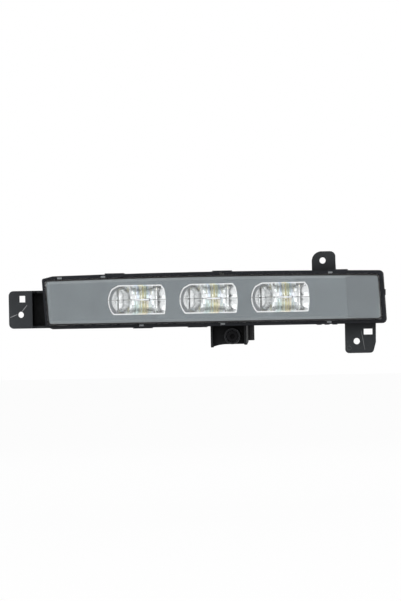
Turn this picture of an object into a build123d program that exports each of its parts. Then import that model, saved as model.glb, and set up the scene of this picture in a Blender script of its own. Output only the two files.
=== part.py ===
from build123d import *
import os
from math import atan, cos, radians, sin, sqrt, tan

# Auxiliary driving light for the lower corner of a car's front bumper, in millimetres.
# X runs to the right as seen from the front, Y runs to the back and Z points up.
# The origin is the middle of the lens's front face.
os.makedirs("parts", exist_ok=True)

# Lens, front view
LENS_LENGTH = 340.5
LENS_BOTTOM_Z = -23.2
LENS_END_TOP_Z = 23.2
LENS_CROWN = 1.8
LENS_END_SLANT = 2.5
LENS_LEFT_SLANT = 3.0
LENS_CORNER = 3.0
LENS_WALL = 1.6
LENS_BOW_RADIUS = 2400.0
LENS_END_ROUND = 3.6
LENS_BACK_Y = 18.5

# Black rim moulded around the lens
RIM_WIDTH = 3.4
RIM_FRONT_Y = 15.5
RIM_BACK_Y = 20.0
RIM_LEG_BACK_Y = 25.0
RIM_LEG_GROW = 0.4
RIM_UPPER_CUT = (13.0, 2.4)
RIM_LOWER_CUT = (7.0, 3.0)
LUG_LENGTH = 5.0
LUG_REACH = 2.6
LUG_DEPTH = 1.6

# Housing
HOUSING_WALL = 2.5
TRAY_GROW = 0.5
FLANGE_WIDTH = 3.7
GROOVE_OUT = 1.0
GROOVE_IN = 2.4
GROOVE_FLOOR_Y = 26.5
GROOVE_FLOOR_WALL = 2.0
INNER_LIP = 1.0
TRAY_BACK_Y = 80.0
TRAY_LEFT_Y = 50.0
TRAY_RIGHT_Y = 44.0
TRAY_LEFT_SHOULDER_X = -130.0
TRAY_RIGHT_SHOULDER_X = 123.0
TRAY_CORNER = 5.0

# Fixing tabs
TAB_THICKNESS = 3.0
BOLT_HOLE = 6.4
UPPER_TAB_INSET = 59.85
UPPER_TAB_RISE = 14.7
UPPER_TAB_CORNER = 5.5
UPPER_TAB_LEFT = 11.0
UPPER_TAB_RIGHT = 13.1
UPPER_TAB_TOP = 9.4
UPPER_TAB_Y = 36.0
LOWER_TAB_INSET = 26.35
LOWER_TAB_FALL = 21.6
LOWER_TAB_LEFT = 11.8
LOWER_TAB_RIGHT = 19.5
LOWER_TAB_DROP = 12.1
LOWER_TAB_Y = 31.0
LOWER_PEG_HOLE = (8.9, 5.8)
LOWER_PEG_STEP = (11.7, 9.5)
SIDE_TAB_OUTSET = 28.55
SIDE_TAB_Z = -11.6
SIDE_TAB_WIDTH = 25.0
SIDE_TAB_HEIGHT = 38.5
SIDE_TAB_TURN = 8.0
SIDE_TAB_Y = 29.0
SIDE_PEG_HOLE = 6.6
SIDE_PEG_STEP = (1.6, 16.0)
SIDE_WEB_Y = 43.0

# Optical cells
CELL_PITCH = 73.0
CELL_MIDDLE_X = -4.8
CELL_Z = 1.5
CELL_LENGTH = 59.5
CELL_HEIGHT = 30.3
CELL_RIM = 1.3
OPTIC_SHIFT = 4.0
MIRROR_WALL = 2.0
MIRROR_RIM_Y = 12.2
MIRROR_RIM_THICK = 1.8
MIRROR_RIM_OVERLAP = 1.5
BAND_VERTEX_Y = 35.5
BAND_FOCAL = 6.0
BAND_SWEEP_FOCAL = 40.0
BAND_HALF = 11.2
BAND_FACETS = 5
BAND_STEP = 0.35
INNER_LOBE_VERTEX_Y = 38.0
INNER_LOBE_FOCAL = 11.0
OUTER_LOBE_VERTEX_Y = 35.0
OUTER_LOBE_FOCAL = 21.0
LOBE_LEFT = 23.8
LOBE_RIGHT = 14.9
LOBE_FACETS = 2
LOBE_STEP = 0.25
MIRROR_BENDS = 4
BACK_BENDS = 2
POST_X = 20.0
POST_Z = 7.0
POST_SIZE = 5.0

# Light sources and cooling
BOARD_WIDTH = 14.0
BOARD_THICKNESS = 1.6
BOARD_FRONT_Y = 26.0
EMITTER_Y = 29.5
EMITTER = (3.2, 2.6, 0.9)
SINK_FRONT_Y = 44.0
SINK_BASE = 4.0
SINK_HALF_LENGTH = 33.0
SINK_HALF_HEIGHT = 13.0
SINK_SOCKET = 3.0
FIN_COUNT = 7
FIN_PITCH = 8.0
FIN_THICKNESS = 1.8
FIN_HALF_HEIGHT = 10.5
FIN_LENGTH = 18.0

# Swinging carrier and its aiming screw
PIVOT_Y = 46.0
PIN_RADIUS = 2.5
RUNNING_GAP = 0.05
CARRIER_THICKNESS = 3.0
CARRIER_HALF_HEIGHT = 14.5
CARRIER_END_GAP = 6.0
CARRIER_EDGE = 6.0
EAR_THICKNESS = 4.0
EAR_RADIUS = 7.0
BEARING_GAP = 4.0
BEARING_WALL = 3.5
AIM_X = 18.0
AIM_Z = -37.5
BARREL_RADIUS = 3.0
BARREL_LENGTH = 11.0
BARREL_GAP = 0.08
LEVER_WIDTH = 12.0
CHEEK_THICKNESS = 2.2
CHEEK_WALL = 2.0
STUD_RADIUS = 3.0
STUD_FRONT_Y = 29.5
STUD_GAP = 0.08
KNOB_RADIUS = 6.0
KNOB_FRONT_Y = 20.0
KNOB_HEAD = 6.0
KNOB_NOTCHES = 8
KNOB_DRIVE = 2.9
KNOB_DRIVE_DEPTH = 3.6
HUB_RADIUS = 4.75
HUB_BACK_Y = 38.0
COLLAR_RADIUS = 8.1
COLLAR_GAP = 0.3
COLLAR_FRONT_Y = 19.5
FREE_GAP = 0.4
KEEPER_RIM = 1.0

# Pocket around the aiming screw
POCKET_FRONT_Y = 30.0
POCKET_BACK_Y = 56.0
POCKET_WALL = 2.5
POCKET_HALF = 9.5
POCKET_FLOOR_Z = -45.5
SHROUD_LEFT_X = -4.2
SHROUD_RIGHT_X = 32.2
SHROUD_FRONT_Y = 22.0
SHROUD_DROP = 3.0
SHROUD_WALL = 2.3

# Bezel behind the lens
BEZEL_GAP = 0.2
BEZEL_FRONT_Y = 9.0
BEZEL_FACE_WALL = 2.0
BEZEL_WALL = 1.6
BEZEL_BEVEL = (2.6, 1.4)
CREASE_X = 135.8
CREASE_SLANT = 2.8
CREASE_ANGLE = 4.0
CREASE_STEP = 0.5
BEZEL_RELIEF_Y = 12.0

# Driver, plug socket and vents
DRIVER_X = 20.0
DRIVER_LENGTH = 84.0
DRIVER_HEIGHT = 28.0
DRIVER_Y = 70.0
DRIVER_THICKNESS = 1.6
COIL_STEP = 12.0
COIL_RADIUS = 5.5
COIL_HEIGHT = 4.6
CAN_STEP = 24.0
CAN_RADIUS = 3.2
CHIP_STEP = 6.0
CHIP_SIZE = 9.0
CHIP_HEIGHT = 1.3
RESISTOR = (2.0, 3.2)
RESISTOR_STEP = 26.0
RESISTOR_PITCH = 4.0
PLUG_X = 25.2
PLUG_Y = 66.0
PLUG_LENGTH = 22.0
PLUG_WIDTH = 13.0
PLUG_FLANGE = (24.4, 16.0, 2.0)
PLUG_SEAL = 1.0
PLUG_WALL = 1.8
PLUG_MOUTH_Z = -42.2
PLUG_NECK = (18.0, 9.0)
PLUG_PIN = (2.8, 0.8)
PLUG_PIN_PITCH = 5.2
PLUG_PIN_TIP = 5.0
VENT_X = -70.0
VENT_Z = 3.0
VENT_PIPE_RADIUS = 4.0
VENT_BORE_RADIUS = 2.5
VENT_PIPE = 6.0
VENT_CAP_RADIUS = 7.0
VENT_CAP = 8.0

CELL_X = [CELL_MIDDLE_X + i * CELL_PITCH for i in (-1, 0, 1)]
HALF = LENS_LENGTH / 2
UPPER_TAB_HOLE = (HALF - UPPER_TAB_INSET, LENS_END_TOP_Z + UPPER_TAB_RISE)
LOWER_TAB_HOLE = (HALF - LOWER_TAB_INSET, LENS_BOTTOM_Z - LOWER_TAB_FALL)
SIDE_TAB_HOLE = (-HALF - SIDE_TAB_OUTSET, SIDE_TAB_Z)
FLANGE_BACK_Y = GROOVE_FLOOR_Y + GROOVE_FLOOR_WALL
SINK_BACK_Y = SINK_FRONT_Y + SINK_BASE
CARRIER_BACK_Y = SINK_BACK_Y + CARRIER_THICKNESS
CARRIER_LEFT_X = CELL_X[0] - SINK_HALF_LENGTH - CARRIER_END_GAP
CARRIER_RIGHT_X = CELL_X[2] + SINK_HALF_LENGTH + CARRIER_END_GAP
TRAY_FLOOR_Z = LENS_BOTTOM_Z - TRAY_GROW
TRAY_INNER_FLOOR_Z = TRAY_FLOOR_Z + HOUSING_WALL
TRAY_INNER_BACK_Y = TRAY_BACK_Y - HOUSING_WALL
COLLAR_INNER = KNOB_RADIUS + COLLAR_GAP
HEAD_BACK_Y = KNOB_FRONT_Y + KNOB_HEAD
SHOULDER_Y = HEAD_BACK_Y + FREE_GAP


def at_depth(y):
    """Front-view plane lying y behind the lens's front face; extrude(-d) runs to the back."""
    return Plane.XZ.offset(-y)


def upper_edge(x):
    """Height of the lens outline's upper edge at x."""
    return LENS_END_TOP_Z + LENS_CROWN * (1 - (x / HALF) ** 2)


def lens_outline(grow=0.0, rounded=True):
    """Lens outline in the front view, grown all round; loops that are hidden keep square corners."""
    upper_left = (-HALF - LENS_LEFT_SLANT / 2, LENS_END_TOP_Z)
    lower_left = (-HALF + LENS_LEFT_SLANT / 2, LENS_BOTTOM_Z)
    lower_right = (HALF + LENS_END_SLANT / 2, LENS_BOTTOM_Z)
    upper_right = (HALF - LENS_END_SLANT / 2, LENS_END_TOP_Z)
    with BuildSketch() as outline:
        with BuildLine():
            Polyline(upper_left, lower_left, lower_right, upper_right)
            ThreePointArc(upper_right, (0, LENS_END_TOP_Z + LENS_CROWN), upper_left)
        make_face()
        if grow:
            offset(amount=grow, kind=Kind.INTERSECTION)
        if rounded:
            fillet(outline.vertices(), max(LENS_CORNER, LENS_CORNER + grow * 0.4))
    return outline.sketch


def rim_outline(grow):
    """Outline of the rim and the flange behind it, with its two cut corners on the left."""
    upper_left = -HALF - LENS_LEFT_SLANT / 2 - grow
    lower_left = -HALF + LENS_LEFT_SLANT / 2 - grow
    top = LENS_END_TOP_Z + grow
    bottom = LENS_BOTTOM_Z - grow
    upper_x, upper_z = RIM_UPPER_CUT
    lower_x, lower_z = RIM_LOWER_CUT
    with BuildSketch() as outline:
        add(lens_outline(grow))
        with BuildLine():
            Polyline(
                (upper_left - 2, top + 2), (upper_left - 2, top - upper_z), (upper_left, top - upper_z),
                (upper_left + upper_x, top + 0.6), (upper_left + upper_x, top + 2), close=True,
            )
        make_face(mode=Mode.SUBTRACT)
        with BuildLine():
            Polyline(
                (lower_left - 2, bottom - 2), (lower_left - 2, bottom + lower_z),
                (lower_left, bottom + lower_z), (lower_left + lower_x, bottom),
                (lower_left + lower_x, bottom - 2), close=True,
            )
        make_face(mode=Mode.SUBTRACT)
    return outline.sketch


def bowed_block(grow, front_y, back_y, end_round):
    """Lens-outline prism with a bowed front face that rounds off into both ends."""
    left = -HALF - LENS_LEFT_SLANT / 2 - grow
    right = HALF + LENS_END_SLANT / 2 + grow
    left_y = front_y + LENS_BOW_RADIUS - sqrt(LENS_BOW_RADIUS**2 - left**2)
    right_y = front_y + LENS_BOW_RADIUS - sqrt(LENS_BOW_RADIUS**2 - right**2)
    with BuildPart() as block:
        with BuildSketch(at_depth(back_y)):
            add(lens_outline(grow))
        extrude(amount=back_y - front_y + 1)
        with BuildSketch(Plane.XY) as plan:
            with BuildLine():
                ThreePointArc((left, left_y), (0, front_y), (right, right_y))
                Polyline((right, right_y), (right, back_y), (left, back_y), (left, left_y))
            make_face()
            fillet(plan.vertices().filter_by(lambda v: v.Y < back_y - 1), end_round)
        extrude(amount=HALF, both=True, mode=Mode.INTERSECT)
    return block.part


def tray_block(grow, front_y, inset, corner, rounded=True):
    """Housing tray as a solid: lens outline from the front, stepped depth in plan."""
    left = -HALF - 12
    right = HALF + 12
    with BuildPart() as block:
        with BuildSketch(at_depth(front_y)):
            add(lens_outline(grow, rounded))
        extrude(amount=-(TRAY_BACK_Y - inset - front_y))
        with BuildSketch(Plane.XY) as plan:
            with BuildLine():
                Polyline(
                    (left, front_y),
                    (left, TRAY_LEFT_Y - inset),
                    (-HALF + inset, TRAY_LEFT_Y - inset),
                    (TRAY_LEFT_SHOULDER_X + inset, TRAY_BACK_Y - inset),
                    (TRAY_RIGHT_SHOULDER_X - inset, TRAY_BACK_Y - inset),
                    (HALF - inset, TRAY_RIGHT_Y - inset),
                    (right, TRAY_RIGHT_Y - inset),
                    (right, front_y),
                    close=True,
                )
            make_face()
            turns = plan.vertices().filter_by(lambda v: abs(v.X) < HALF + 1)
            if rounded:
                fillet(turns, corner)
        extrude(amount=HALF, both=True, mode=Mode.INTERSECT)
    return block.part


def cell_outline(grow=0.0, rounded=True):
    """Opening of one optical cell, about its own middle; the back of the reflector is left square."""
    half_l = CELL_LENGTH / 2
    half_h = CELL_HEIGHT / 2
    with BuildSketch() as outline:
        with BuildLine():
            ThreePointArc(
                (-0.815 * half_l, -half_h), (-half_l, -0.02 * half_h), (-0.86 * half_l, 0.76 * half_h)
            )
            Polyline(
                (-0.86 * half_l, 0.76 * half_h),
                (-0.635 * half_l, half_h),
                (0.845 * half_l, half_h),
                (0.95 * half_l, 0.725 * half_h),
            )
            ThreePointArc((0.95 * half_l, 0.725 * half_h), (half_l, -0.1 * half_h), (0.955 * half_l, -half_h))
            Line((0.955 * half_l, -half_h), (0.815 * -half_l, -half_h))
        make_face()
        if rounded:
            fillet(outline.vertices(), 1.2)
        if grow:
            offset(amount=grow, kind=Kind.ARC if rounded else Kind.INTERSECTION)
    return outline.sketch


def facet(x0, x1, vertex_y, sweep, step, focal, bends):
    """Hollow in front of one mirror facet: an upright parabola run straight from x0 to x1.

    The upper and lower halves have their axes on the two faces of the light board.
    """
    mouth_y = MIRROR_RIM_Y - 6
    top = CELL_HEIGHT / 2 + 3
    axis_z = BOARD_THICKNESS / 2
    y0 = vertex_y - step - x0**2 / (4 * sweep)
    y1 = vertex_y - step - x1**2 / (4 * sweep)
    heights = [i * top / bends for i in range(bends + 1)]
    upper = [(y0 - (z - axis_z) ** 2 / (4 * focal), z) for z in heights]
    lower = [(y, -z) for y, z in upper[:0:-1]]
    with BuildPart() as hollow:
        with BuildSketch(Plane.YZ.offset(x0)):
            with BuildLine():
                Polyline((mouth_y, -top), *lower, *upper, (mouth_y, top), close=True)
            make_face()
        extrude(amount=sqrt((x1 - x0) ** 2 + (y1 - y0) ** 2), dir=(x1 - x0, y1 - y0, 0))
    return hollow.part


def bowl(grow, behind):
    """Whole space in front of the stepped mirror, or the same space moved back by a wall.

    Moved back, the lobes also spread sideways by that wall, so the steps keep their thickness.
    """
    far_left = CELL_LENGTH / 2 + OPTIC_SHIFT + 3
    far_right = CELL_LENGTH / 2 - OPTIC_SHIFT + 3
    shift = Location((OPTIC_SHIFT, 0, 0))
    bends = BACK_BENDS if behind else MIRROR_BENDS
    inner = (INNER_LOBE_VERTEX_Y + behind, INNER_LOBE_FOCAL)
    outer = (OUTER_LOBE_VERTEX_Y + behind, OUTER_LOBE_FOCAL)
    with BuildPart() as space:
        for x0, x1, (vertex_y, focal) in (
            (-far_left, -LOBE_LEFT, outer),
            (-LOBE_LEFT, -BAND_HALF, inner),
            (BAND_HALF, LOBE_RIGHT, inner),
            (LOBE_RIGHT, far_right, outer),
        ):
            x0 = x0 - behind
            width = (x1 + behind - x0) / LOBE_FACETS
            for i in range(LOBE_FACETS):
                left = x0 + i * width
                hollow = facet(left, left + width, vertex_y, focal, i * LOBE_STEP, focal, bends)
                add(shift * hollow)
        if behind:
            flat = LENS_BOW_RADIUS * BAND_HALF
            hollow = facet(-BAND_HALF, BAND_HALF, BAND_VERTEX_Y + behind, flat, 0, BAND_FOCAL, bends)
            add(shift * hollow)
        else:
            width = 2 * BAND_HALF / BAND_FACETS
            for i in range(BAND_FACETS):
                left = i * width - BAND_HALF
                step = abs(i - (BAND_FACETS - 1) / 2) * BAND_STEP
                hollow = facet(left, left + width, BAND_VERTEX_Y, BAND_SWEEP_FOCAL, step, BAND_FOCAL, bends)
                add(shift * hollow)
        with BuildSketch(at_depth(MIRROR_RIM_Y)):
            add(cell_outline(grow, rounded=not behind))
        extrude(amount=-(INNER_LOBE_VERTEX_Y + behind + 5 - MIRROR_RIM_Y), mode=Mode.INTERSECT)
    return space.part


def bezel_block(grow, front_y, back_y, bevel=None):
    """Bezel as a solid: flat face with the right end leaning back beyond a slanted crease."""
    lean = atan(CREASE_SLANT / (LENS_END_TOP_Z - LENS_BOTTOM_Z))
    far = HALF
    along = (-sin(lean), 0, cos(lean))
    crease = Plane(origin=(CREASE_X, front_y, 0), x_dir=(cos(lean), 0, sin(lean)), z_dir=along)
    with BuildPart() as block:
        with BuildSketch(at_depth(front_y)):
            add(lens_outline(grow, rounded=bool(bevel)))
        extrude(amount=-(back_y - front_y))
        if bevel:
            face = block.faces().sort_by(Axis.Y)[0]
            chamfer(face.edges(), bevel[0], bevel[1], reference=face)
        with BuildSketch(crease):
            with BuildLine():
                Polyline(
                    (0, CREASE_STEP), (far, CREASE_STEP + far * tan(radians(CREASE_ANGLE))),
                    (far, -5), (0, -5), close=True,
                )
            make_face()
        extrude(amount=far, both=True, mode=Mode.SUBTRACT)
    return block.part


def save(shape, name):
    """Label one piece and write its file."""
    shape.label = name
    export_step(shape, f"parts/{name}.step")


# Clear lens: bowed front, wrapped skirt and the small clear lugs that show on the black rim
UPPER_LUGS = (13.5 - HALF, 58 - HALF, 9, HALF - 51)
LOWER_LUGS = (96.3 - HALF, 9, HALF - 53)
with BuildPart() as lens:
    add(bowed_block(0, 0, LENS_BACK_Y, LENS_END_ROUND))
    add(bowed_block(-LENS_WALL, LENS_WALL, LENS_BACK_Y, LENS_END_ROUND - LENS_WALL), mode=Mode.SUBTRACT)
    lug_y = RIM_FRONT_Y - LUG_DEPTH / 2
    with Locations([(x, lug_y, upper_edge(x) + LUG_REACH / 2 - 0.5) for x in UPPER_LUGS]):
        Box(LUG_LENGTH, LUG_DEPTH, LUG_REACH + 1)
    with Locations([(x, lug_y, LENS_BOTTOM_Z - LUG_REACH / 2 + 0.5) for x in LOWER_LUGS]):
        Box(LUG_LENGTH, LUG_DEPTH, LUG_REACH + 1)
save(lens.part, "lens")

# Black rim moulded onto the lens, with a leg that stands in the housing's groove
with BuildPart() as lens_rim:
    with BuildSketch(at_depth(RIM_FRONT_Y)):
        add(rim_outline(RIM_WIDTH))
        add(lens_outline(), mode=Mode.SUBTRACT)
    extrude(amount=-(RIM_BACK_Y - RIM_FRONT_Y))
    with BuildSketch(at_depth(LENS_BACK_Y)):
        add(lens_outline(RIM_LEG_GROW, rounded=False))
        add(lens_outline(-LENS_WALL, rounded=False), mode=Mode.SUBTRACT)
    extrude(amount=-(RIM_LEG_BACK_Y - LENS_BACK_Y))
    clip_y = (RIM_FRONT_Y + RIM_BACK_Y) / 2
    with Locations([(x, clip_y + 0.6, upper_edge(x) + RIM_WIDTH) for x in (69.5 - HALF, 9, HALF - 43.5)]):
        Box(20, 2.2, 2.4)
    with Locations([(x, clip_y + 0.6, LENS_BOTTOM_Z - RIM_WIDTH) for x in (97.5 - HALF, -17)]):
        Box(20, 2.2, 2.2)
    clip_x = (HALF - 63.5, HALF - 55.5, HALF - 47.5)
    with Locations([(x, clip_y + 0.6, LENS_BOTTOM_Z - RIM_WIDTH) for x in clip_x]):
        Box(5, 2.2, 1.8)
    with Locations([(HALF + RIM_WIDTH, clip_y + 0.6, z) for z in (4.5, -13.8)]):
        Box(2.4, 2.2, 6)
save(lens_rim.part, "lens_rim")

# Sealant bead on the floor of the groove
with BuildPart() as lens_seal:
    with BuildSketch(at_depth(RIM_LEG_BACK_Y)):
        add(lens_outline(GROOVE_OUT, rounded=False))
        add(lens_outline(-GROOVE_IN, rounded=False), mode=Mode.SUBTRACT)
    extrude(amount=-(GROOVE_FLOOR_Y - RIM_LEG_BACK_Y))
save(lens_seal.part, "lens_seal")

# Housing: tray, grooved flange, aiming pocket, bearing walls and board posts in one moulding
BEARING_LEFT_X = CARRIER_LEFT_X - BEARING_GAP
BEARING_RIGHT_X = CARRIER_RIGHT_X + BEARING_GAP
POCKET_INNER_FLOOR_Z = POCKET_FLOOR_Z + POCKET_WALL - 0.5
DRIVER_BACK_Y = DRIVER_Y + DRIVER_THICKNESS
DRIVER_LEFT_X = DRIVER_X - DRIVER_LENGTH / 2
DRIVER_RIGHT_X = DRIVER_X + DRIVER_LENGTH / 2
with BuildPart() as housing:
    # Tray walls and grooved flange
    add(tray_block(TRAY_GROW, FLANGE_BACK_Y - 1, 0, TRAY_CORNER))
    with BuildSketch(at_depth(RIM_BACK_Y)):
        add(rim_outline(FLANGE_WIDTH))
    extrude(amount=-(FLANGE_BACK_Y - RIM_BACK_Y))

    # Aiming pocket, its open shroud in front and the collar round the knob
    with BuildSketch(at_depth(POCKET_FRONT_Y)):
        with BuildLine():
            ThreePointArc(
                (SHROUD_LEFT_X, POCKET_FLOOR_Z - SHROUD_DROP),
                (AIM_X - 13.5, POCKET_FLOOR_Z - 0.2 * SHROUD_DROP),
                (AIM_X - 4, POCKET_FLOOR_Z),
            )
            Polyline(
                (AIM_X - 4, POCKET_FLOOR_Z),
                (SHROUD_RIGHT_X, POCKET_FLOOR_Z),
                (SHROUD_RIGHT_X, TRAY_FLOOR_Z + 1),
                (SHROUD_LEFT_X, TRAY_FLOOR_Z + 1),
                (SHROUD_LEFT_X, POCKET_FLOOR_Z - SHROUD_DROP),
            )
        make_face()
    extrude(amount=-POCKET_WALL)
    pocket_mid_z = (POCKET_FLOOR_Z + TRAY_FLOOR_Z + 1) / 2
    pocket_height = TRAY_FLOOR_Z + 1 - POCKET_FLOOR_Z
    pocket_outer = 2 * (POCKET_HALF + POCKET_WALL)
    with Locations((AIM_X, (POCKET_FRONT_Y + POCKET_BACK_Y) / 2, pocket_mid_z)):
        Box(pocket_outer, POCKET_BACK_Y - POCKET_FRONT_Y, pocket_height)
    for x, drop, back_y in (
        (SHROUD_LEFT_X + SHROUD_WALL / 2, SHROUD_DROP, POCKET_FRONT_Y + POCKET_WALL),
        (SHROUD_RIGHT_X - SHROUD_WALL / 2, 0.9, POCKET_BACK_Y - 2),
    ):
        with BuildSketch(Plane.YZ.offset(x)):
            with BuildLine():
                Polyline(
                    (SHROUD_FRONT_Y, TRAY_FLOOR_Z),
                    (SHROUD_FRONT_Y, POCKET_FLOOR_Z - drop + 2),
                    (SHROUD_FRONT_Y + 2, POCKET_FLOOR_Z - drop),
                    (POCKET_FRONT_Y + POCKET_WALL, POCKET_FLOOR_Z - drop),
                    (back_y, POCKET_FLOOR_Z + 2),
                    (back_y, TRAY_FLOOR_Z),
                    close=True,
                )
            make_face()
        extrude(amount=SHROUD_WALL / 2, both=True)
    with BuildSketch(at_depth(COLLAR_FRONT_Y)):
        with Locations((AIM_X, AIM_Z)):
            Circle(COLLAR_RADIUS)
    extrude(amount=-(POCKET_FRONT_Y - COLLAR_FRONT_Y))

    # Vent pipe and stiffening ribs on the back
    with BuildSketch(at_depth(TRAY_BACK_Y - 1)):
        with Locations((VENT_X, VENT_Z)):
            Circle(VENT_PIPE_RADIUS)
    extrude(amount=-(VENT_PIPE + 1))
    with Locations([(x, TRAY_BACK_Y, CELL_Z) for x in (-110, -92, -48, -26, -4, 40, 62, 112)]):
        Box(1.6, 3.2, 30)
    with Locations(((TRAY_LEFT_SHOULDER_X + TRAY_RIGHT_SHOULDER_X) / 2, TRAY_BACK_Y, -9)):
        Box(TRAY_RIGHT_SHOULDER_X - TRAY_LEFT_SHOULDER_X - 24, 3.2, 1.6)

    # Hollow tray, groove and inner lip
    add(
        tray_block(TRAY_GROW - HOUSING_WALL, FLANGE_BACK_Y, HOUSING_WALL, 0, rounded=False),
        mode=Mode.SUBTRACT,
    )
    with BuildSketch(at_depth(RIM_BACK_Y)):
        add(lens_outline(-GROOVE_IN - INNER_LIP, rounded=False))
    extrude(amount=-(FLANGE_BACK_Y - RIM_BACK_Y), mode=Mode.SUBTRACT)
    with BuildSketch(at_depth(RIM_BACK_Y)):
        add(lens_outline(GROOVE_OUT, rounded=False))
        add(lens_outline(-GROOVE_IN, rounded=False), mode=Mode.SUBTRACT)
    extrude(amount=-(GROOVE_FLOOR_Y - RIM_BACK_Y), mode=Mode.SUBTRACT)

    # Pocket hollow reaching up into the tray
    hollow_y = (POCKET_FRONT_Y + POCKET_WALL + POCKET_BACK_Y - POCKET_WALL) / 2
    with Locations((AIM_X, hollow_y, (POCKET_INNER_FLOOR_Z + TRAY_INNER_FLOOR_Z) / 2)):
        Box(
            2 * POCKET_HALF,
            POCKET_BACK_Y - POCKET_FRONT_Y - 2 * POCKET_WALL,
            TRAY_INNER_FLOOR_Z - POCKET_INNER_FLOOR_Z,
            mode=Mode.SUBTRACT,
        )

    # Bearing walls for the carrier's pins, and grooved posts that hold the driver board by its ends
    for x in (BEARING_LEFT_X - BEARING_WALL / 2, BEARING_RIGHT_X + BEARING_WALL / 2):
        with BuildSketch(Plane.YZ.offset(x)):
            wall_z = (TRAY_INNER_FLOOR_Z + upper_edge(x)) / 2 - 0.5
            with Locations(((PIVOT_Y + TRAY_INNER_BACK_Y) / 2 - 4, wall_z)):
                Rectangle(TRAY_INNER_BACK_Y - PIVOT_Y + 9, upper_edge(x) - TRAY_INNER_FLOOR_Z)
            with Locations((PIVOT_Y, CELL_Z)):
                Circle(PIN_RADIUS + RUNNING_GAP, mode=Mode.SUBTRACT)
        extrude(amount=BEARING_WALL / 2, both=True)
    post_front_y = DRIVER_Y - 2
    post_y = (post_front_y + TRAY_INNER_BACK_Y) / 2
    with Locations((DRIVER_LEFT_X, post_y, CELL_Z), (DRIVER_RIGHT_X, post_y, CELL_Z)):
        Box(5, TRAY_INNER_BACK_Y - post_front_y, DRIVER_HEIGHT - 8)
    with Locations((DRIVER_X, (DRIVER_Y + DRIVER_BACK_Y) / 2, CELL_Z)):
        Box(DRIVER_LENGTH, DRIVER_THICKNESS, DRIVER_HEIGHT, mode=Mode.SUBTRACT)

    # Holes: stepped knob bore, vent and plug opening
    with BuildSketch(at_depth(COLLAR_FRONT_Y)):
        with Locations((AIM_X, AIM_Z)):
            Circle(COLLAR_INNER)
    extrude(amount=-(SHOULDER_Y - COLLAR_FRONT_Y), mode=Mode.SUBTRACT)
    with BuildSketch(at_depth(SHOULDER_Y)):
        with Locations((AIM_X, AIM_Z)):
            Circle(HUB_RADIUS + RUNNING_GAP)
    extrude(amount=-(POCKET_FRONT_Y + POCKET_WALL - SHOULDER_Y), mode=Mode.SUBTRACT)
    with BuildSketch(at_depth(TRAY_INNER_BACK_Y)):
        with Locations((VENT_X, VENT_Z)):
            Circle(VENT_BORE_RADIUS)
    extrude(amount=-(HOUSING_WALL + VENT_PIPE), mode=Mode.SUBTRACT)
    with Locations((PLUG_X, PLUG_Y, TRAY_FLOOR_Z + HOUSING_WALL / 2)):
        Box(PLUG_NECK[0], PLUG_NECK[1], HOUSING_WALL, mode=Mode.SUBTRACT)
save(housing.part, "housing")

# Upper tab with two gussets behind it
tab_x, tab_z = UPPER_TAB_HOLE
root_z = upper_edge(tab_x) - 2
gusset_y = UPPER_TAB_Y + TAB_THICKNESS
with BuildPart() as upper_tab:
    with BuildSketch(at_depth(UPPER_TAB_Y)) as plate:
        with BuildLine():
            Polyline(
                (tab_x - UPPER_TAB_LEFT, root_z),
                (tab_x + UPPER_TAB_RIGHT, root_z),
                (tab_x + UPPER_TAB_RIGHT, tab_z + UPPER_TAB_TOP),
                (tab_x - UPPER_TAB_LEFT, tab_z + UPPER_TAB_TOP),
                close=True,
            )
        make_face()
        fillet(plate.vertices().filter_by(lambda v: v.Y > tab_z and v.X < tab_x), UPPER_TAB_LEFT - 1)
        right_corner = plate.vertices().filter_by(lambda v: v.Y > tab_z and v.X > tab_x + UPPER_TAB_LEFT)
        fillet(right_corner, UPPER_TAB_CORNER)
        with Locations(UPPER_TAB_HOLE):
            Circle(BOLT_HOLE / 2, mode=Mode.SUBTRACT)
    extrude(amount=-TAB_THICKNESS)
    for x in (tab_x - UPPER_TAB_LEFT + 1, tab_x + UPPER_TAB_RIGHT - 1):
        with BuildSketch(Plane.YZ.offset(x)):
            with BuildLine():
                Polyline(
                    (gusset_y - 1, root_z), (gusset_y + 14, root_z),
                    (gusset_y, tab_z - 2), (gusset_y - 1, tab_z - 2), close=True,
                )
            make_face()
        extrude(amount=1, both=True)
    add(tray_block(TRAY_GROW, FLANGE_BACK_Y - 1, 0, TRAY_CORNER), mode=Mode.SUBTRACT)
save(upper_tab.part, "upper_tab")

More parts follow.
